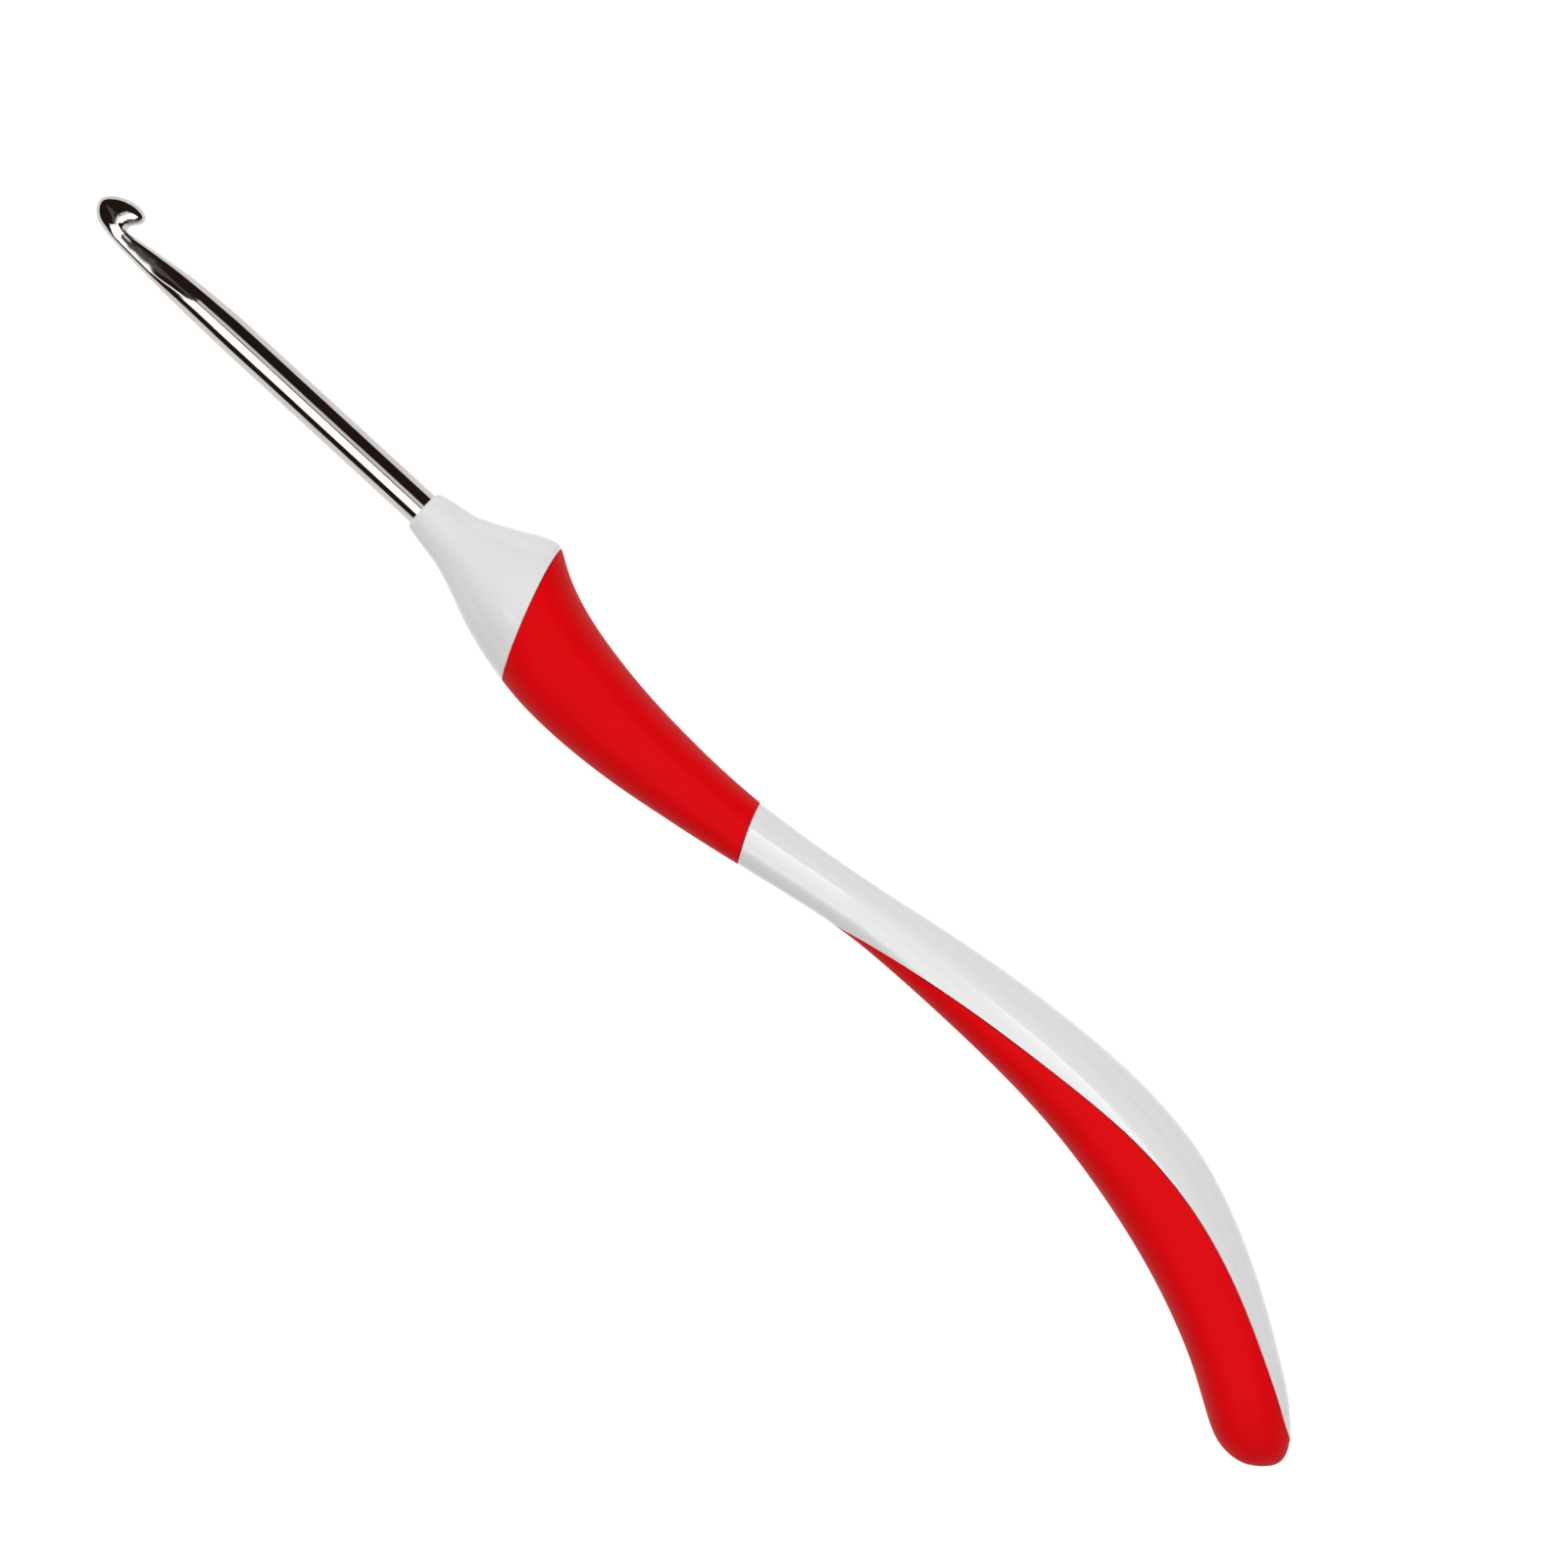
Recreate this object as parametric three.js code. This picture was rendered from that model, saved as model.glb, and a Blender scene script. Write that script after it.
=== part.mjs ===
// Crochet hook: a plated metal hook in a hard white handle with two soft red grips.
// Millimetres, +Z up. It lies on its side: X runs from the tip of the hook to the end of the handle, and +Y
// is the side that the throat and the thumb rest face. The two sides, +Z and -Z, mirror each other.

import * as THREE from 'three';
import { mergeVertices } from 'three/addons/utils/BufferGeometryUtils.js';

// Driving dimensions. X is counted from the tip of the hook and Y from the axis of the shank.
const SHANK_RADIUS = 1.75;
const COLLAR_X = 43;
const GRIP_THICKNESS = 1.2;
const PIECE_GAP = 0.3;
const BORE_CLEARANCE = 0.1;

// The shank inside the handle: round at first, then pressed flat so that it can't turn.
const ROUND_END_X = COLLAR_X + 8 * SHANK_RADIUS;
const TANG_START_X = ROUND_END_X + SHANK_RADIUS;
const TANG_END_X = COLLAR_X + 20;
const TANG_HALF_HEIGHT = 0.45 * SHANK_RADIUS;
const TANG_HALF_WIDTH = 1.25 * SHANK_RADIUS;
const TANG_CHAMFER = 0.2 * SHANK_RADIUS;

// The collar's flat front face is a ring round the shank, out to this radius.
const COLLAR_FLAT_RADIUS = 1.17 * SHANK_RADIUS;

// Rows of the hook, from the round shank, down the neck, round the throat and out to the lip. Each row has
// its point on the throat's side (x, y), its point on the back (x, y), half its width across, and how far
// down from the throat's side it is widest, as a fraction of its height.
const NECK_START_X = 18;
const HOOK_ROWS = [
  [NECK_START_X, SHANK_RADIUS, NECK_START_X, -SHANK_RADIUS, SHANK_RADIUS, 0.5],
  [14.6, 1.62, 14.6, -1.68, 1.73, 0.5],
  [11.3, 1.4, 11.3, -1.6, 1.66, 0.5],
  [9.0, 1.09, 8.9, -1.5, 1.58, 0.5],
  [6.8, 0.8, 6.6, -1.36, 1.5, 0.5],
  [5.4, 0.58, 4.9, -1.26, 1.45, 0.48],
  [4.5, 0.45, 3.6, -1.16, 1.44, 0.44],
  [4.02, 0.52, 2.3, -0.99, 1.44, 0.4],
  [3.93, 0.78, 1.15, -0.65, 1.42, 0.36],
  [3.98, 1.0, 0.32, 0.12, 1.4, 0.34],
  [4.08, 1.15, 0.04, 1.02, 1.38, 0.34],
  [4.19, 1.29, 0.48, 1.75, 1.36, 0.34],
  [4.3, 1.43, 1.2, 2.33, 1.32, 0.36],
  [4.41, 1.58, 2.1, 2.74, 1.24, 0.4],
  [4.52, 1.74, 3.0, 2.94, 1.08, 0.45],
  [4.59, 1.92, 3.8, 2.9, 0.82, 0.5],
  [4.63, 2.1, 4.38, 2.66, 0.5, 0.5],
];
const LIP_POINT = [4.6, 2.37];

// Rows of the handle, from the collar to the rounded end of the tail. Each row has its point on the thumb
// side (x, y), its point on the belly side (x, y), half its width across, how far down it is widest, and,
// along the tail, the height of the seam between the white spine and the red grip: -1 on the belly and 1 on
// the thumb side.
const HANDLE_ROWS = [
  [43.15, 2.2, 43.15, -2.2, 2.2, 0.5, -1],
  [44.6, 2.56, 44.6, -2.52, 2.56, 0.5, -1],
  [47.0, 2.92, 47.2, -2.98, 3.1, 0.52, -1],
  [49.3, 3.96, 49.8, -3.88, 4.0, 0.54, -1],
  [51.6, 5.14, 52.6, -5.1, 5.0, 0.55, -1],
  [53.3, 6.04, 55.3, -6.02, 5.8, 0.54, -1],
  [54.6, 6.5, 57.6, -6.62, 6.2, 0.52, -1],
  [55.25, 6.3, 59.66, -6.98, 6.4, 0.49, -1],
  [57.4, 4.94, 61.9, -7.28, 6.5, 0.45, -1],
  [60.8, 3.52, 64.8, -7.46, 6.5, 0.4, -1],
  [65.3, 2.42, 69.0, -7.4, 6.4, 0.39, -1],
  [70.9, 1.58, 74.3, -6.94, 6.0, 0.4, -1],
  [76.5, 1.2, 79.6, -6.12, 5.4, 0.42, -1],
  [81.0, 1.08, 83.8, -5.42, 4.8, 0.45, -1],
  [85.7, 1.22, 88.1, -4.6, 4.1, 0.48, -1],
  [91.3, 1.76, 92.9, -3.66, 3.6, 0.5, -1],
  [96.9, 2.52, 97.7, -2.78, 3.5, 0.5, -1],
  [101.0, 3.15, 101.8, -2.32, 3.8, 0.5, -0.76],
  [107.8, 4.37, 108.4, -2.1, 4.6, 0.5, -0.51],
  [114.5, 5.33, 115.0, -2.1, 5.3, 0.5, -0.33],
  [121.6, 6.0, 121.6, -2.3, 5.8, 0.5, -0.19],
  [128.3, 6.28, 127.7, -2.85, 6.1, 0.5, -0.04],
  [134.0, 6.0, 132.6, -3.7, 6.2, 0.5, 0.1],
  [139.6, 5.1, 137.1, -4.7, 6.2, 0.5, 0.2],
  [145.2, 3.1, 141.5, -5.9, 6.1, 0.5, 0.32],
  [150.8, 0.38, 146.3, -7.55, 6.0, 0.5, 0.42],
  [155.6, -2.5, 151.5, -9.8, 5.8, 0.5, 0.5],
  [158.7, -4.55, 154.9, -11.75, 5.6, 0.5, 0.58],
  [161.0, -6.12, 157.6, -13.4, 5.2, 0.5, 0.65],
  [162.5, -7.45, 159.3, -14.15, 4.6, 0.5, 0.73],
  [163.7, -8.6, 161.0, -14.33, 3.8, 0.5, 0.84],
  [164.4, -9.5, 162.6, -14.0, 2.9, 0.5, 1],
  [164.95, -10.55, 164.1, -13.0, 1.55, 0.5, 1],
];
const TAIL_END = [165, -11.8];
const FRONT_SEAM_ROW = 7;
const REAR_SEAM_ROW = 14;
const TAIL_SEAM_START_ROW = 16;
const TAIL_SEAM_END_ROW = 31;
const TAIL_ROUNDING_ROW = 26;
const THROAT_ROW = 9;

// The two cross seams bow this far towards the hook on the handle's flanks.
const SEAM_BOW = 0.24;

// The sections are superellipses: an exponent of 2 is an ellipse, and a higher one has flatter sides. The
// belly side of the handle is a little squarer than the thumb side.
const ELLIPSE = 2;
const BELLY_EXPONENT = 2.9;
const THUMB_EXPONENT = 2.2;

// The neck of the hook is pressed flat on both sides, at this share of its half width. At the other share,
// out past the surface, nothing is pressed. A higher sharpness gives the flats a crisper border.
const PRESSED_SHARE = 0.77;
const UNPRESSED_SHARE = 1.6;
const PRESS_SHARPNESS = 9;

// Divisions of the surfaces
const ROUND_COLUMNS = 24;
const INLAY_COLUMNS = 16;
const TAIL_RINGS = 32;

// Small steps that measure slopes: one of a row, one of a radian
const NUDGE = 0.01;

function makeSkin(rows, end, { bow, exponent, flat }) {
  const thumbSide = rows.map(([x, y]) => new THREE.Vector3(x, y, 0));
  const bellySide = rows.map(([, , x, y]) => new THREE.Vector3(x, y, 0)).reverse();
  const traits = rows.map(([thumbX, thumbY, bellyX, bellyY, halfWidth, widest, seam = 0]) => {
    const halfHeight = Math.hypot(thumbX - bellyX, thumbY - bellyY) / 2;
    return new THREE.Vector3(halfWidth / halfHeight, widest, seam);
  });
  traits.push(traits.at(-1));
  const points = [...thumbSide, new THREE.Vector3(...end, 0), ...bellySide];
  return {
    outline: new THREE.CatmullRomCurve3(points, false, 'centripetal'),
    traits: new THREE.CatmullRomCurve3(traits, false, 'catmullrom'),
    lastRow: rows.length,
    bow,
    exponent,
    flat,
  };
}

// A point of the skin itself. The angle turns round the section from the thumb side, over the +Z side.
function surfacePoint(skin, row, angle) {
  const place = row / (2 * skin.lastRow);
  const thumb = skin.outline.getPoint(place);
  const belly = skin.outline.getPoint(1 - place);
  const [breadth, widest] = skin.traits.getPoint(row / skin.lastRow).toArray();
  const halfWidth = breadth * thumb.distanceTo(belly) / 2;
  const onThumbSide = Math.cos(angle) > 0;
  const edge = onThumbSide ? thumb : belly;
  const exponent = skin.exponent(row, onThumbSide);
  const reach = Math.abs(Math.cos(angle)) ** exponent + Math.abs(Math.sin(angle)) ** exponent;
  const swell = reach ** (-1 / exponent);
  const point = thumb.clone().lerp(belly, widest).lerp(edge, swell * Math.abs(Math.cos(angle)));
  point.x -= skin.bow(row) * Math.sin(angle) ** 2;
  const pressing = Math.abs(swell * Math.sin(angle) / skin.flat(row)) ** PRESS_SHARPNESS;
  point.z = swell * halfWidth * Math.sin(angle) / (1 + pressing) ** (1 / PRESS_SHARPNESS);
  return point;
}

// The change of the surface point per row and per radian
function alongRows(skin, row, angle) {
  const low = Math.max(row - NUDGE, 0);
  const high = Math.min(row + NUDGE, skin.lastRow);
  return surfacePoint(skin, high, angle).sub(surfacePoint(skin, low, angle)).divideScalar(high - low);
}

function roundSection(skin, row, angle) {
  const before = surfacePoint(skin, row, angle - NUDGE);
  return surfacePoint(skin, row, angle + NUDGE).sub(before).divideScalar(2 * NUDGE);
}

function outwardNormal(skin, row, angle) {
  return roundSection(skin, row, angle).cross(alongRows(skin, row, angle)).normalize();
}

// At the end point the rows close up, so its normal is the mean of those beside it.
function endNormal(skin) {
  const row = skin.lastRow - NUDGE;
  return outwardNormal(skin, row, 0).add(outwardNormal(skin, row, Math.PI)).normalize();
}

// A point moved along the skin by shift and sunk below it by depth. The normal is the unmoved row's, so the
// two walls of a seam, moved apart from one row, are parallel.
function skinPoint(skin, row, angle, depth = 0, shift = 0) {
  const moved = shift === 0 ? row : row + shift / alongRows(skin, row, angle).length();
  const normal = row >= skin.lastRow ? endNormal(skin) : outwardNormal(skin, row, angle);
  return surfacePoint(skin, moved, angle).addScaledVector(normal, -depth);
}

function spread(from, to, count) {
  return Array.from({ length: count }, (_, i) => from + (to - from) * i / (count - 1));
}

function roundAngles() {
  return spread(0, 2 * Math.PI, ROUND_COLUMNS + 1).slice(0, -1);
}

// A flat ring of points round the shank's axis
function axisRing(angles, x, halfHeight, halfWidth) {
  return angles.map((a) => new THREE.Vector3(x, halfHeight * Math.cos(a), halfWidth * Math.sin(a)));
}

// A closed solid through rings of points. Faces with no area are left out, and so are two that lie back to
// back.
function solidFromRings(rings, looped = false) {
  const columns = rings[0].length;
  const triangles = [];
  const lastRing = looped ? rings.length : rings.length - 1;
  for (let i = 0; i < lastRing; i++) {
    const ring = rings[i];
    const nextRing = rings[(i + 1) % rings.length];
    for (let j = 0; j < columns; j++) {
      const k = (j + 1) % columns;
      const [a, b, c, d] = [ring[j], ring[k], nextRing[k], nextRing[j]];
      const firstHalf = j < columns / 2;
      triangles.push(...(firstHalf ? [a, b, c, a, c, d] : [a, b, d, b, c, d]));
    }
  }
  const merged = mergeVertices(new THREE.BufferGeometry().setFromPoints(triangles), 1e-3);
  const faces = distinctFaces(merged.index.array);
  const geometry = new THREE.BufferGeometry();
  geometry.setAttribute('position', merged.attributes.position);
  geometry.setIndex(volumeOf(merged.attributes.position, faces) > 0 ? faces.flat() : faces.flat().reverse());
  geometry.computeVertexNormals();
  return geometry;
}

function distinctFaces(index) {
  const found = new Map();
  for (let i = 0; i < index.length; i += 3) {
    const face = [index[i], index[i + 1], index[i + 2]];
    const key = [...face].sort((a, b) => a - b).join();
    const collapsed = new Set(face).size < 3;
    if (!collapsed && found.has(key)) found.delete(key);
    else if (!collapsed) found.set(key, face);
  }
  return [...found.values()];
}

function volumeOf(positions, faces) {
  const corners = [new THREE.Vector3(), new THREE.Vector3(), new THREE.Vector3()];
  let sixVolumes = 0;
  for (const face of faces) {
    face.forEach((vertex, i) => corners[i].fromBufferAttribute(positions, vertex));
    sixVolumes += corners[0].dot(corners[1].clone().cross(corners[2]));
  }
  return sixVolumes / 6;
}

// The angle of the seam between the white spine and the rear grip, from the thumb side
function tailSeamAngle(row) {
  const height = handleSkin.traits.getPoint(row / handleSkin.lastRow).z;
  return Math.acos(THREE.MathUtils.clamp(height, -1, 1));
}

// Half the gap at that seam as an angle. It closes up at the seam's two ends.
function tailSeamHalfGap(row) {
  const closing = Math.min(row - TAIL_SEAM_START_ROW, TAIL_SEAM_END_ROW - row);
  const share = Math.sqrt(THREE.MathUtils.clamp(2 * closing, 0, 1));
  const radius = roundSection(handleSkin, row, tailSeamAngle(row)).length();
  return share * PIECE_GAP / 2 / radius;
}

// Rows of the tail's rings, closer together at the two ends of the seam, where it turns round
function tailSeamRows() {
  const length = TAIL_SEAM_END_ROW - TAIL_SEAM_START_ROW;
  return spread(0, 1, TAIL_RINGS + 1).map((part) => {
    const eased = 0.2 * part + 0.8 * (1 - Math.cos(Math.PI * part)) / 2;
    return TAIL_SEAM_START_ROW + length * eased;
  });
}

function endRows() {
  return spread(TAIL_SEAM_END_ROW, handleSkin.lastRow, 5).slice(1);
}

// One ring of the core: its outer face within the seam angle, then the sunk face that carries a grip.
function coreRing(row, seamAngle, outerDepth, sunkDepth, shift = 0) {
  const halfOuter = ROUND_COLUMNS / 2;
  const point = (depth) => (angle) => skinPoint(handleSkin, row, angle, depth, shift);
  return [
    ...spread(0, seamAngle, halfOuter + 1).map(point(outerDepth)),
    ...spread(seamAngle, 2 * Math.PI - seamAngle, INLAY_COLUMNS + 1).map(point(sunkDepth)),
    ...spread(-seamAngle, 0, halfOuter + 1).slice(0, -1).map(point(outerDepth)),
  ];
}

function coreSocketRing(x, halfHeight, halfWidth) {
  const angles = [
    ...spread(0, Math.PI, ROUND_COLUMNS / 2 + 1),
    ...Array(INLAY_COLUMNS + 1).fill(Math.PI),
    ...spread(-Math.PI, 0, ROUND_COLUMNS / 2 + 1).slice(0, -1),
  ];
  return axisRing(angles, x, halfHeight, halfWidth);
}

function makeHandleCore() {
  const boreRadius = SHANK_RADIUS + BORE_CLEARANCE;
  const slotHeight = TANG_HALF_HEIGHT + BORE_CLEARANCE;
  const slotWidth = TANG_HALF_WIDTH + BORE_CLEARANCE;
  const slotEnd = TANG_END_X + PIECE_GAP;
  const sunk = GRIP_THICKNESS + PIECE_GAP / 2;
  const halfGap = PIECE_GAP / 2;
  const socket = [
    coreSocketRing(slotEnd, 0, 0),
    coreSocketRing(slotEnd, slotHeight, slotWidth),
    coreSocketRing(TANG_START_X, slotHeight, slotWidth),
    coreSocketRing(ROUND_END_X, boreRadius, boreRadius),
    coreSocketRing(COLLAR_X, boreRadius, boreRadius),
    coreSocketRing(COLLAR_X, COLLAR_FLAT_RADIUS, COLLAR_FLAT_RADIUS),
  ];
  const nose = spread(0, FRONT_SEAM_ROW, 2 * FRONT_SEAM_ROW + 1).slice(0, -1);
  const neck = spread(FRONT_SEAM_ROW, REAR_SEAM_ROW, 2 * (REAR_SEAM_ROW - FRONT_SEAM_ROW) + 1).slice(1, -1);
  const band = spread(REAR_SEAM_ROW, TAIL_SEAM_START_ROW, 5).slice(1, -1);
  const rings = [
    ...socket,
    ...nose.map((row) => coreRing(row, Math.PI, 0, 0)),
    coreRing(FRONT_SEAM_ROW, Math.PI, 0, 0, -halfGap),
    coreRing(FRONT_SEAM_ROW, Math.PI, sunk, sunk, -halfGap),
    ...neck.map((row) => coreRing(row, Math.PI, sunk, sunk)),
    coreRing(REAR_SEAM_ROW, Math.PI, sunk, sunk, halfGap),
    coreRing(REAR_SEAM_ROW, Math.PI, 0, 0, halfGap),
    ...band.map((row) => coreRing(row, Math.PI, 0, 0)),
    ...tailSeamRows().map((row) => {
      return coreRing(row, tailSeamAngle(row) - tailSeamHalfGap(row), 0, sunk, -halfGap);
    }),
    ...endRows().map((row) => coreRing(row, 0, sunk, sunk)),
  ];
  return solidFromRings(rings);
}

function makeFrontGrip() {
  const halfGap = PIECE_GAP / 2;
  const inner = GRIP_THICKNESS - halfGap;
  const rows = spread(FRONT_SEAM_ROW, REAR_SEAM_ROW, 2 * (REAR_SEAM_ROW - FRONT_SEAM_ROW) + 1);
  const shiftOf = (row) => (row === FRONT_SEAM_ROW ? halfGap : row === REAR_SEAM_ROW ? -halfGap : 0);
  const ringAt = (row, depth) => roundAngles().map((a) => skinPoint(handleSkin, row, a, depth, shiftOf(row)));
  const outside = rows.map((row) => ringAt(row, 0));
  const inside = rows.reverse().map((row) => ringAt(row, inner));
  return solidFromRings([...outside, ...inside], true);
}

function rearGripRing(row, seamAngle, shift) {
  const halfInlay = INLAY_COLUMNS / 2;
  const inner = GRIP_THICKNESS - PIECE_GAP / 2;
  const point = (depth) => (angle) => skinPoint(handleSkin, row, angle, depth, shift);
  return [
    ...spread(Math.PI, 2 * Math.PI - seamAngle, halfInlay + 1).map(point(0)),
    ...spread(2 * Math.PI - seamAngle, seamAngle, INLAY_COLUMNS + 1).map(point(inner)),
    ...spread(seamAngle, Math.PI, halfInlay + 1).slice(0, -1).map(point(0)),
  ];
}

function makeRearGrip() {
  const halfGap = PIECE_GAP / 2;
  return solidFromRings([
    ...tailSeamRows().map((row) => rearGripRing(row, tailSeamAngle(row) + tailSeamHalfGap(row), halfGap)),
    ...endRows().map((row) => rearGripRing(row, 0, 0)),
  ]);
}

function makeHook() {
  const angles = roundAngles();
  const lastRow = hookSkin.lastRow;
  const rows = spread(0, lastRow, 2 * lastRow + 1);
  return solidFromRings([
    axisRing(angles, TANG_END_X, 0, 0),
    axisRing(angles, TANG_END_X, TANG_HALF_HEIGHT - TANG_CHAMFER, TANG_HALF_WIDTH - TANG_CHAMFER),
    axisRing(angles, TANG_END_X - TANG_CHAMFER, TANG_HALF_HEIGHT, TANG_HALF_WIDTH),
    axisRing(angles, TANG_START_X, TANG_HALF_HEIGHT, TANG_HALF_WIDTH),
    axisRing(angles, ROUND_END_X, SHANK_RADIUS, SHANK_RADIUS),
    ...rows.map((row) => angles.map((angle) => skinPoint(hookSkin, row, angle))),
  ]);
}

// Full between the two cross seams, fading out towards the collar and along the tail
function handleBow(row) {
  const fadeIn = THREE.MathUtils.smoothstep(row, 0, FRONT_SEAM_ROW);
  const fadeOut = 1 - THREE.MathUtils.smoothstep(row, REAR_SEAM_ROW, TAIL_SEAM_START_ROW);
  return SEAM_BOW * fadeIn * fadeOut;
}

// The flats start beyond the round shank and end at the throat.
function hookFlat(row) {
  const fadeIn = THREE.MathUtils.smoothstep(row, 0, THROAT_ROW / 3);
  const fadeOut = 1 - THREE.MathUtils.smoothstep(row, 2 * THROAT_ROW / 3, THROAT_ROW);
  return THREE.MathUtils.lerp(UNPRESSED_SHARE, PRESSED_SHARE, fadeIn * fadeOut);
}

// The collar and the rounded end of the tail are elliptical.
function handleExponent(row, onThumbSide) {
  const fadeIn = THREE.MathUtils.smoothstep(row, FRONT_SEAM_ROW - 1, FRONT_SEAM_ROW + 2);
  const fadeOut = 1 - THREE.MathUtils.smoothstep(row, TAIL_ROUNDING_ROW, handleSkin.lastRow);
  return THREE.MathUtils.lerp(ELLIPSE, onThumbSide ? THUMB_EXPONENT : BELLY_EXPONENT, fadeIn * fadeOut);
}

const hookSkin = makeSkin(HOOK_ROWS, LIP_POINT, {
  bow: () => 0,
  exponent: () => ELLIPSE,
  flat: hookFlat,
});
const handleSkin = makeSkin(HANDLE_ROWS, TAIL_END, {
  bow: handleBow,
  exponent: handleExponent,
  flat: () => UNPRESSED_SHARE,
});

function addPiece(group, name, geometry, color, roughness, metalness) {
  const piece = new THREE.Mesh(geometry, new THREE.MeshStandardMaterial({ color, roughness, metalness }));
  piece.name = name;
  group.add(piece);
}

const PLATED_METAL = 0xc8c4c0;
const WHITE_PLASTIC = 0xe6e6e4;
const SOFT_RED = 0xd81020;

const crochetHook = new THREE.Group();
addPiece(crochetHook, 'hook', makeHook(), PLATED_METAL, 0.12, 1);
addPiece(crochetHook, 'handle_core', makeHandleCore(), WHITE_PLASTIC, 0.3, 0);
addPiece(crochetHook, 'front_grip', makeFrontGrip(), SOFT_RED, 0.6, 0);
addPiece(crochetHook, 'rear_grip', makeRearGrip(), SOFT_RED, 0.6, 0);

// The origin is the middle of the base of the box round the whole object.
const box = new THREE.Box3().setFromObject(crochetHook);
const middle = box.getCenter(new THREE.Vector3());
crochetHook.position.set(-middle.x, -middle.y, -box.min.z);

export default crochetHook;
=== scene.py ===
import math

import bmesh
import bpy
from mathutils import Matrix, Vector
from mathutils.bvhtree import BVHTree


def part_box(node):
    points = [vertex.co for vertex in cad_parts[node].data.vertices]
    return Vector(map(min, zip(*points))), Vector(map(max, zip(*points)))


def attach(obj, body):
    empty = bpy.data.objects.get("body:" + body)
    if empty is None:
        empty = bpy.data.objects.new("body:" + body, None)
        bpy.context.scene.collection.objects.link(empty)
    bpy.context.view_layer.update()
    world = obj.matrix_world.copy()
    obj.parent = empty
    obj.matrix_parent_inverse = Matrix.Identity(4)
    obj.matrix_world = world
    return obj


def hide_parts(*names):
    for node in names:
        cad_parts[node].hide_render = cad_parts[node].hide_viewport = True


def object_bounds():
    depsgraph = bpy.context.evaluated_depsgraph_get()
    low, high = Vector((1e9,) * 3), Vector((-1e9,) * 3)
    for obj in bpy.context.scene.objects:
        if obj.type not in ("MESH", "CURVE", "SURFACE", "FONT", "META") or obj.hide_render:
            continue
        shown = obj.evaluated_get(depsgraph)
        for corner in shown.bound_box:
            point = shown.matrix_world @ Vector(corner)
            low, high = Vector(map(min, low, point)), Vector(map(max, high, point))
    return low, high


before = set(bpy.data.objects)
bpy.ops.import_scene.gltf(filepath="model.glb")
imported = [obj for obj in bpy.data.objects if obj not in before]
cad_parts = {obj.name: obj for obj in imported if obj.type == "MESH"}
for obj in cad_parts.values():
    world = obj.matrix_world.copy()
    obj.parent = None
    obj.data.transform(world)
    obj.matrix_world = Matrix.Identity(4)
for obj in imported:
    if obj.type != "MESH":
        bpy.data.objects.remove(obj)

# The CAD box, before any visual piece is made
cad_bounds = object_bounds()
box_low, box_high = Vector(cad_bounds[0]), Vector(cad_bounds[1])
box_middle = (box_low + box_high) / 2

# Driving sizes, in metres, read from the frame
LENGTH = box_high.x - box_low.x
COLLAR_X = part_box("handle_core")[0].x
MILLIMETRE = 0.001

# The seams between the pieces
WELD_REACH = 0.001 * MILLIMETRE
PAIR_FACE_ANGLE = math.radians(30)
PAIR_SHAPE_ANGLE = math.radians(60)
HAIRLINE = 0.02 * MILLIMETRE
FACING_REACH = 0.6 * MILLIMETRE
RIM_ROUNDING = 0.03 * MILLIMETRE
RIM_SEGMENTS = 2
SHARP_EDGE = math.radians(38)

# The round shank runs from the end of the neck to the collar, and gets loops across it
SHANK_START = box_low.x + 0.109 * LENGTH
SHANK_LOOPS = 12

# Smoothing of the small bright hook and of the larger handle pieces
HOOK_SMOOTHING = 3
HANDLE_SMOOTHING = 2

# Most of a noise's values lie between these two
NOISE_LOW = 0.2
NOISE_HIGH = 0.8

# Linear colours, and roughness from the smoothest places to the roughest
METAL_TONES = (0.5, 0.473, 0.45), (0.545, 0.517, 0.495)
METAL_ROUGHNESS = 0.04, 0.09
METAL_CLOUD = 2.5 * MILLIMETRE
DRAWN_LINE_STRETCH = 0.03
DRAWN_LINE_WIDTH = 0.25 * MILLIMETRE
DRAWN_LINE_HEIGHT = 0.004 * MILLIMETRE
DRAWN_LINE_STRENGTH = 0.4
WHITE_TONES = (0.614, 0.614, 0.612), (0.618, 0.618, 0.616)
WHITE_ROUGHNESS = 0.15, 0.16
WHITE_CLOUD = 6 * MILLIMETRE
WHITE_SPECULAR = 0.4
RED_TONES = (0.572, 0.0004, 0.0022), (0.59, 0.0008, 0.003)
RED_ROUGHNESS = 0.5, 0.6
RED_CLOUD = 7 * MILLIMETRE
RED_SPECULAR = 0.03
RED_GRAIN = 0.16 * MILLIMETRE
RED_GRAIN_HEIGHT = 0.02 * MILLIMETRE
RED_GRAIN_STRENGTH = 0.35

# The view from straight above, turned so that the hook lies across the frame from corner to corner
VIEW_TURN = math.radians(42.61)
FRAME_WIDTH = 0.9097 * LENGTH
AIM = box_middle + Vector((0.0219 * LENGTH, 0.0483 * LENGTH, 0))
LENS_MM = 100
SENSOR_MM = 36

# The floor is a small pale table that glows a little
FLOOR_HALF = 2.5 * LENGTH
FLOOR_GREY = 0.25
FLOOR_GLOW = 0.85
FLOOR_ROUGHNESS = 0.9

# The overhead key, and the light from all round
KEY_STRENGTH = 1.03 * math.pi
KEY_SPREAD = math.radians(60)
KEY_DIRECTION = Vector((-0.18, 0.14, 1))
FILL = (0.22, 0.22, 0.22, 1)
BLACK_CARD = (0.026, 0.016, 0.012, 1)
WHITE = (1, 1, 1, 1)

# The cards that the glossy surfaces reflect. They hang at one height and run lengthwise from their hook end.
CARD_HEIGHT = 4 * LENGTH
CARD_REACH = 6 * LENGTH

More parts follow.
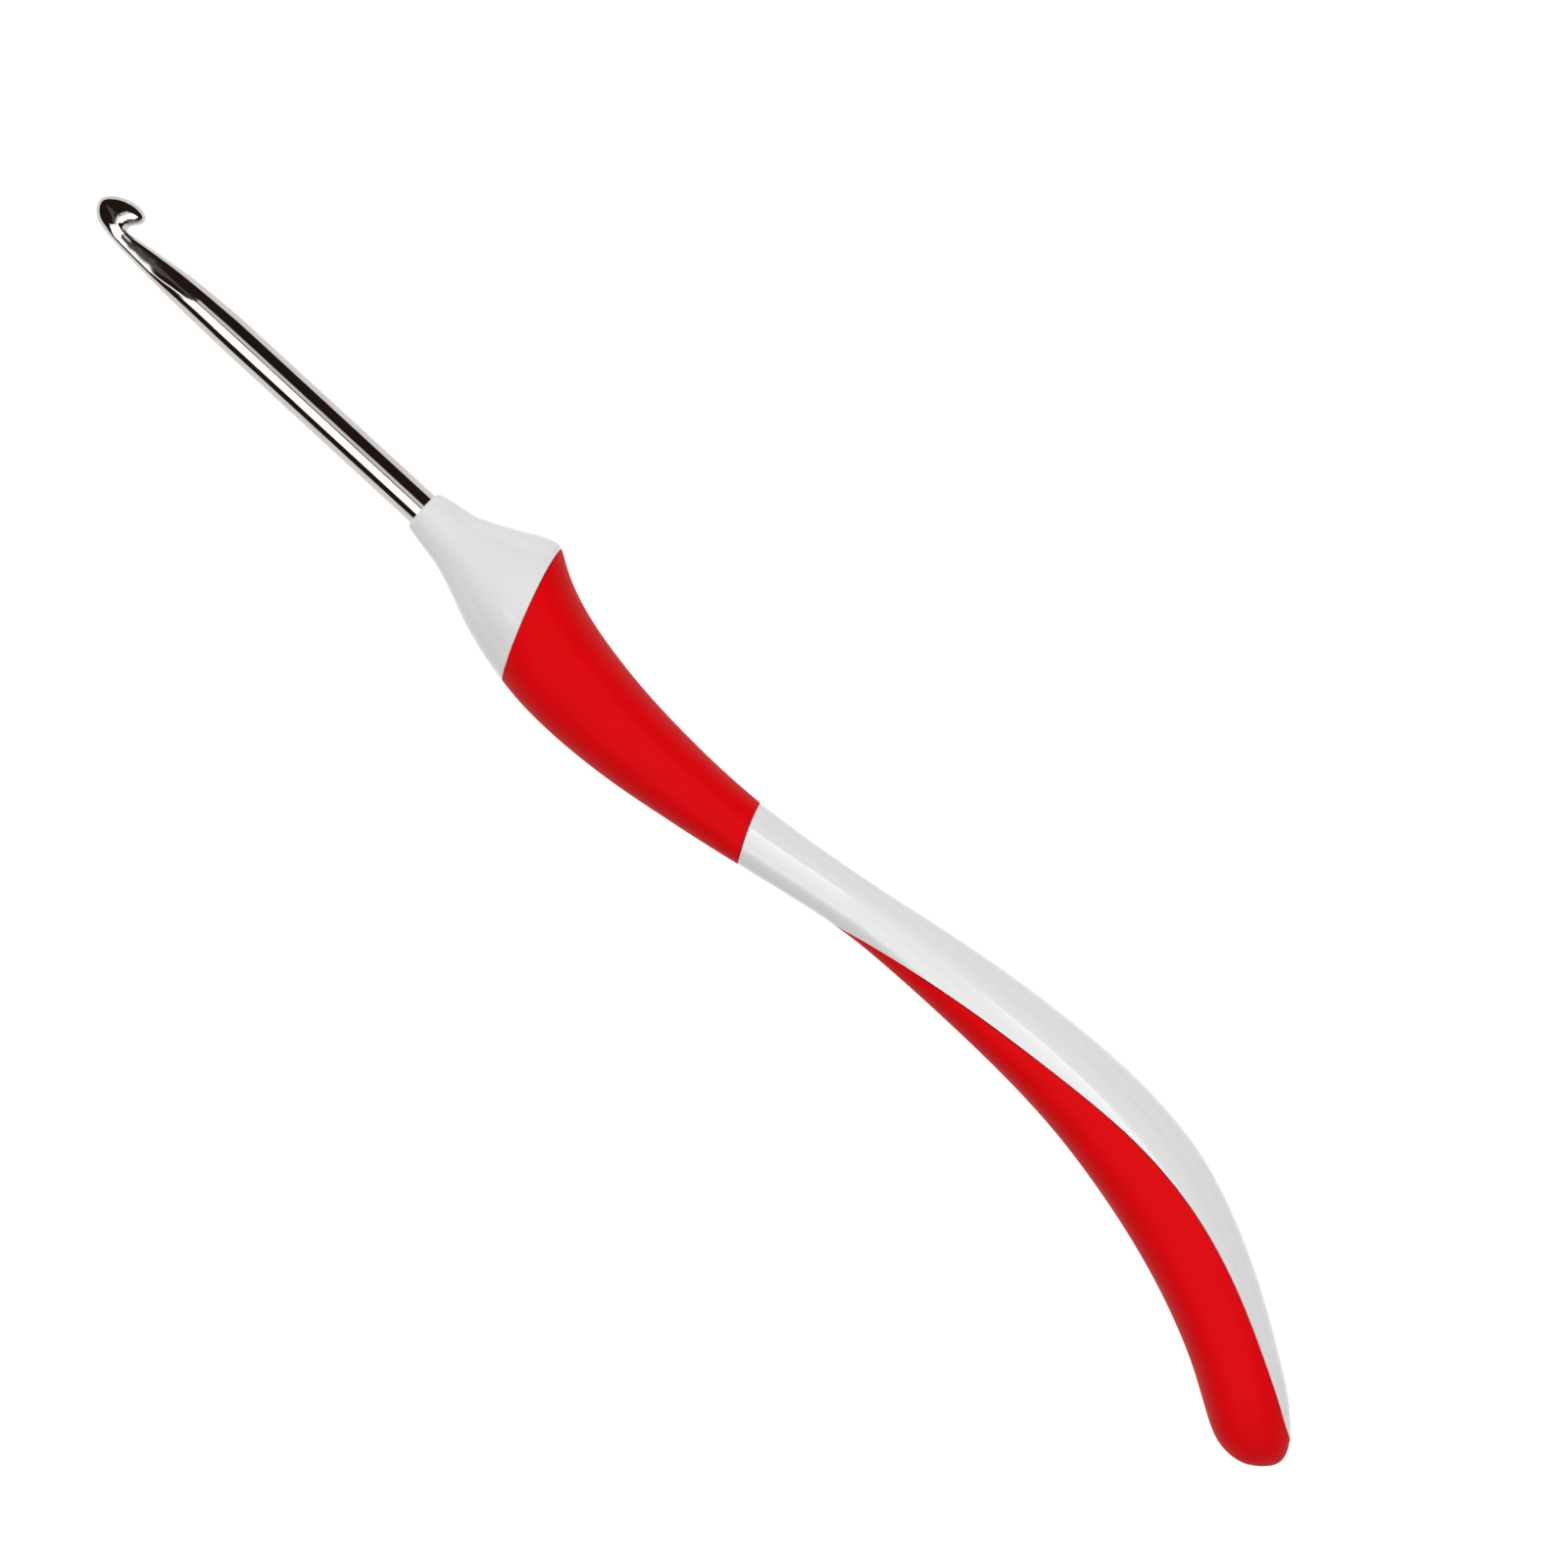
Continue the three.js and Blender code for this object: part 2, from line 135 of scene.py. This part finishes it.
# Each card's name, the angles it spans from straight above towards +Y, its radiance and its hook end
CARDS = [
    ("bright_card", -51, -4, 2.3, -1.5 * LENGTH),
    ("handle_card", -4, 16, 2.3, -0.3 * LENGTH),
    ("gloss_strip", 16, 22, 5.5, -0.3 * LENGTH),
    ("neck_strip", -36, -28, 2.3, -2.3 * LENGTH),
    ("dim_card", -4, 3, 0.1, -CARD_REACH),
    ("grey_card", 3, 22, 1.0, -1.4 * LENGTH),
]


# Geometry: each visual piece is refined from its CAD node

def welded_quads(node):
    """The node's mesh with its corners joined and its triangles paired into quads."""
    piece = bmesh.new()
    piece.from_mesh(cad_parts[node].data)
    bmesh.ops.remove_doubles(piece, verts=piece.verts, dist=WELD_REACH)
    bmesh.ops.join_triangles(
        piece,
        faces=piece.faces,
        angle_face_threshold=PAIR_FACE_ANGLE,
        angle_shape_threshold=PAIR_SHAPE_ANGLE,
    )
    piece.normal_update()
    return piece


def neighbour_distances(piece, neighbours):
    """How far each face is from the face of a neighbour that it looks at, for those that look at one."""
    distances = {}
    for face in piece.faces:
        start = face.calc_center_median()
        hits = [tree.ray_cast(start, face.normal, FACING_REACH) for tree in neighbours]
        found = [distance for _, _, _, distance in hits if distance is not None]
        if found:
            distances[face] = min(found)
    return distances


def close_seams(piece, neighbours):
    """Moves the side walls of the seams towards each other, until a hairline is left between them."""
    distances = neighbour_distances(piece, neighbours)
    skin = {vert for face in piece.faces if face not in distances for vert in face.verts}
    walls = [face for face in distances if any(vert in skin for vert in face.verts)]
    moves = {}
    for face in walls:
        for vert in face.verts:
            moves.setdefault(vert, []).append(face.normal * (distances[face] - HAIRLINE) / 2)
    for vert, steps in moves.items():
        vert.co += sum(steps, Vector()) / len(steps)


def slice_lengthwise(piece, places):
    """Adds loops across the piece where its faces are long."""
    for place in places:
        geometry = piece.verts[:] + piece.edges[:] + piece.faces[:]
        bmesh.ops.bisect_plane(piece, geom=geometry, plane_co=(place, 0, 0), plane_no=(1, 0, 0))


def finish_piece(name, piece, node, make_material, slot, levels):
    """Makes the piece's object, with rounded rims and a smooth surface, in place of its CAD node."""
    mesh = bpy.data.meshes.new(name)
    piece.to_mesh(mesh)
    piece.free()
    mesh.materials.append(make_material(slot))
    mesh.shade_smooth()
    obj = bpy.data.objects.new(name, mesh)
    bpy.context.scene.collection.objects.link(obj)
    rims = obj.modifiers.new("rims", "BEVEL")
    rims.limit_method = "ANGLE"
    rims.angle_limit = SHARP_EDGE
    rims.width = RIM_ROUNDING
    rims.segments = RIM_SEGMENTS
    rims.use_clamp_overlap = False
    smooth = obj.modifiers.new("smooth", "SUBSURF")
    smooth.levels = levels
    smooth.render_levels = levels
    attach(obj, "root")
    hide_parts(node)


# Materials

def new_material(name):
    """A node material, with its nodes, its links and its shader."""
    material = bpy.data.materials.new(name)
    material.use_nodes = True
    nodes = material.node_tree.nodes
    return material, nodes, material.node_tree.links, nodes["Principled BSDF"]


def place_on_object(nodes, links, stretch=(1, 1, 1)):
    """Coordinates in metres in the object's own frame, stretched along its axes."""
    place = nodes.new("ShaderNodeTexCoord")
    mapping = nodes.new("ShaderNodeMapping")
    mapping.inputs["Scale"].default_value = stretch
    links.new(place.outputs["Object"], mapping.inputs["Vector"])
    return mapping.outputs["Vector"]


def noise(nodes, links, vector, grain, detail, roughness=0.5):
    """A noise whose features are about grain metres across."""
    texture = nodes.new("ShaderNodeTexNoise")
    texture.inputs["Scale"].default_value = 1 / grain
    texture.inputs["Detail"].default_value = detail
    texture.inputs["Roughness"].default_value = roughness
    links.new(vector, texture.inputs["Vector"])
    return texture.outputs["Fac"]


def spread_to(nodes, links, value, low, high):
    """The noise's value, spread out so that it runs from low to high."""
    spread = nodes.new("ShaderNodeMapRange")
    spread.inputs["From Min"].default_value = NOISE_LOW
    spread.inputs["From Max"].default_value = NOISE_HIGH
    spread.inputs["To Min"].default_value = low
    spread.inputs["To Max"].default_value = high
    links.new(value, spread.inputs["Value"])
    return spread.outputs["Result"]


def two_tones(nodes, links, value, first, second):
    """A colour that drifts from the first tone to the second with the noise's value."""
    tones = nodes.new("ShaderNodeValToRGB")
    tones.color_ramp.interpolation = "EASE"
    tones.color_ramp.elements[0].position = NOISE_LOW
    tones.color_ramp.elements[0].color = (*first, 1)
    tones.color_ramp.elements[1].position = NOISE_HIGH
    tones.color_ramp.elements[1].color = (*second, 1)
    links.new(value, tones.inputs["Fac"])
    return tones.outputs["Color"]


def bump(nodes, links, height, distance, strength):
    """A relief as high as distance where the height is 1."""
    relief = nodes.new("ShaderNodeBump")
    relief.inputs["Strength"].default_value = strength
    relief.inputs["Distance"].default_value = distance
    links.new(height, relief.inputs["Height"])
    return relief.outputs["Normal"]


def plated_metal(name):
    material, nodes, links, shader = new_material(name)
    shader.inputs["Metallic"].default_value = 1
    lengthwise = place_on_object(nodes, links, (DRAWN_LINE_STRETCH, 1, 1))
    drawn = noise(nodes, links, lengthwise, DRAWN_LINE_WIDTH, 3)
    cloud = noise(nodes, links, place_on_object(nodes, links), METAL_CLOUD, 5)
    colour = two_tones(nodes, links, cloud, *METAL_TONES)
    links.new(colour, shader.inputs["Base Color"])
    links.new(spread_to(nodes, links, cloud, *METAL_ROUGHNESS), shader.inputs["Roughness"])
    relief = bump(nodes, links, drawn, DRAWN_LINE_HEIGHT, DRAWN_LINE_STRENGTH)
    links.new(relief, shader.inputs["Normal"])
    return material


def white_plastic(name):
    material, nodes, links, shader = new_material(name)
    shader.inputs["Specular IOR Level"].default_value = WHITE_SPECULAR
    cloud = noise(nodes, links, place_on_object(nodes, links), WHITE_CLOUD, 3)
    colour = two_tones(nodes, links, cloud, *WHITE_TONES)
    links.new(colour, shader.inputs["Base Color"])
    links.new(spread_to(nodes, links, cloud, *WHITE_ROUGHNESS), shader.inputs["Roughness"])
    return material


def soft_red(name):
    material, nodes, links, shader = new_material(name)
    shader.inputs["Specular IOR Level"].default_value = RED_SPECULAR
    cloud = noise(nodes, links, place_on_object(nodes, links), RED_CLOUD, 3)
    grain = noise(nodes, links, place_on_object(nodes, links), RED_GRAIN, 3, 0.6)
    colour = two_tones(nodes, links, cloud, *RED_TONES)
    links.new(colour, shader.inputs["Base Color"])
    links.new(spread_to(nodes, links, cloud, *RED_ROUGHNESS), shader.inputs["Roughness"])
    relief = bump(nodes, links, grain, RED_GRAIN_HEIGHT, RED_GRAIN_STRENGTH)
    links.new(relief, shader.inputs["Normal"])
    return material


# Studio

def add_camera():
    data = bpy.data.cameras.new("camera")
    data.lens = LENS_MM
    data.sensor_width = SENSOR_MM
    camera = bpy.data.objects.new("camera", data)
    distance = FRAME_WIDTH * LENS_MM / SENSOR_MM
    camera.location = AIM + Vector((0, 0, distance))
    camera.rotation_euler = (0, 0, VIEW_TURN)
    data.clip_start = 0.1 * distance
    data.clip_end = 100 * LENGTH
    bpy.context.scene.collection.objects.link(camera)
    bpy.context.scene.camera = camera


def add_floor():
    """A small pale table, lit a little from within, as an opal light table is."""
    mesh = bpy.data.meshes.new("floor")
    near, far = -FLOOR_HALF, FLOOR_HALF
    corners = [(near, near, 0), (far, near, 0), (far, far, 0), (near, far, 0)]
    mesh.from_pydata(corners, [], [(0, 1, 2, 3)])
    material, _, _, shader = new_material("pale_floor")
    shader.inputs["Base Color"].default_value = (FLOOR_GREY, FLOOR_GREY, FLOOR_GREY, 1)
    shader.inputs["Roughness"].default_value = FLOOR_ROUGHNESS
    shader.inputs["Specular IOR Level"].default_value = 0
    shader.inputs["Emission Color"].default_value = WHITE
    shader.inputs["Emission Strength"].default_value = FLOOR_GLOW
    mesh.materials.append(material)
    floor = bpy.data.objects.new("floor", mesh)
    bpy.context.scene.collection.objects.link(floor)


def add_key_light():
    """The soft main light, from above and a little towards the hook. It is kept out of reflections."""
    data = bpy.data.lights.new("overhead_key", "SUN")
    data.energy = KEY_STRENGTH
    data.angle = KEY_SPREAD
    key = bpy.data.objects.new("overhead_key", data)
    key.rotation_euler = KEY_DIRECTION.to_track_quat("Z", "Y").to_euler()
    key.visible_glossy = False
    bpy.context.scene.collection.objects.link(key)


def add_reflector(name, start, end, radiance, hook_end):
    """A card that shows only in reflections, between two angles from straight above towards +Y."""
    lean = math.radians((start + end) / 2)
    half = math.radians((end - start) / 2)
    data = bpy.data.lights.new(name, "AREA")
    data.shape = "RECTANGLE"
    data.size = CARD_REACH - hook_end
    data.size_y = 2 * CARD_HEIGHT * math.tan(half)
    data.energy = radiance * math.pi * data.size * data.size_y
    card = bpy.data.objects.new(name, data)
    card.location = box_middle + CARD_HEIGHT * Vector((0, math.sin(lean), math.cos(lean)))
    card.location.x += (CARD_REACH + hook_end) / 2
    card.rotation_euler = (-lean, 0, 0)
    card.visible_diffuse = False
    bpy.context.scene.collection.objects.link(card)


def add_world():
    """White to the camera, a soft fill for matt surfaces, and as dark as black card in reflections."""
    world = bpy.data.worlds.new("studio")
    bpy.context.scene.world = world
    world.use_nodes = True
    nodes, links = world.node_tree.nodes, world.node_tree.links
    background = nodes["Background"]
    path = nodes.new("ShaderNodeLightPath")
    dark = nodes.new("ShaderNodeMix")
    dark.data_type = "RGBA"
    dark.inputs["A"].default_value = FILL
    dark.inputs["B"].default_value = BLACK_CARD
    links.new(path.outputs["Is Glossy Ray"], dark.inputs["Factor"])
    seen = nodes.new("ShaderNodeMix")
    seen.data_type = "RGBA"
    seen.inputs["B"].default_value = WHITE
    links.new(path.outputs["Is Camera Ray"], seen.inputs["Factor"])
    links.new(dark.outputs["Result"], seen.inputs["A"])
    links.new(seen.outputs["Result"], background.inputs["Color"])


add_camera()

parts = {name: welded_quads(name) for name in ("hook", "handle_core", "front_grip", "rear_grip")}
trees = {name: BVHTree.FromBMesh(part) for name, part in parts.items()}
for name, part in parts.items():
    close_seams(part, [tree for other, tree in trees.items() if other != name])

step = (COLLAR_X - SHANK_START) / SHANK_LOOPS
slice_lengthwise(parts["hook"], [SHANK_START + step * i for i in range(1, SHANK_LOOPS + 1)])

finish_piece("plated_hook", parts["hook"], "hook", plated_metal, "plated_metal", HOOK_SMOOTHING)
for name, node, make_material, slot in (
    ("white_handle", "handle_core", white_plastic, "white_plastic"),
    ("front_soft_grip", "front_grip", soft_red, "front_soft_red"),
    ("rear_soft_grip", "rear_grip", soft_red, "rear_soft_red"),
):
    finish_piece(name, parts[node], node, make_material, slot, HANDLE_SMOOTHING)

add_floor()
add_key_light()
for card in CARDS:
    add_reflector(*card)
add_world()
bpy.context.scene.view_settings.view_transform = "Standard"
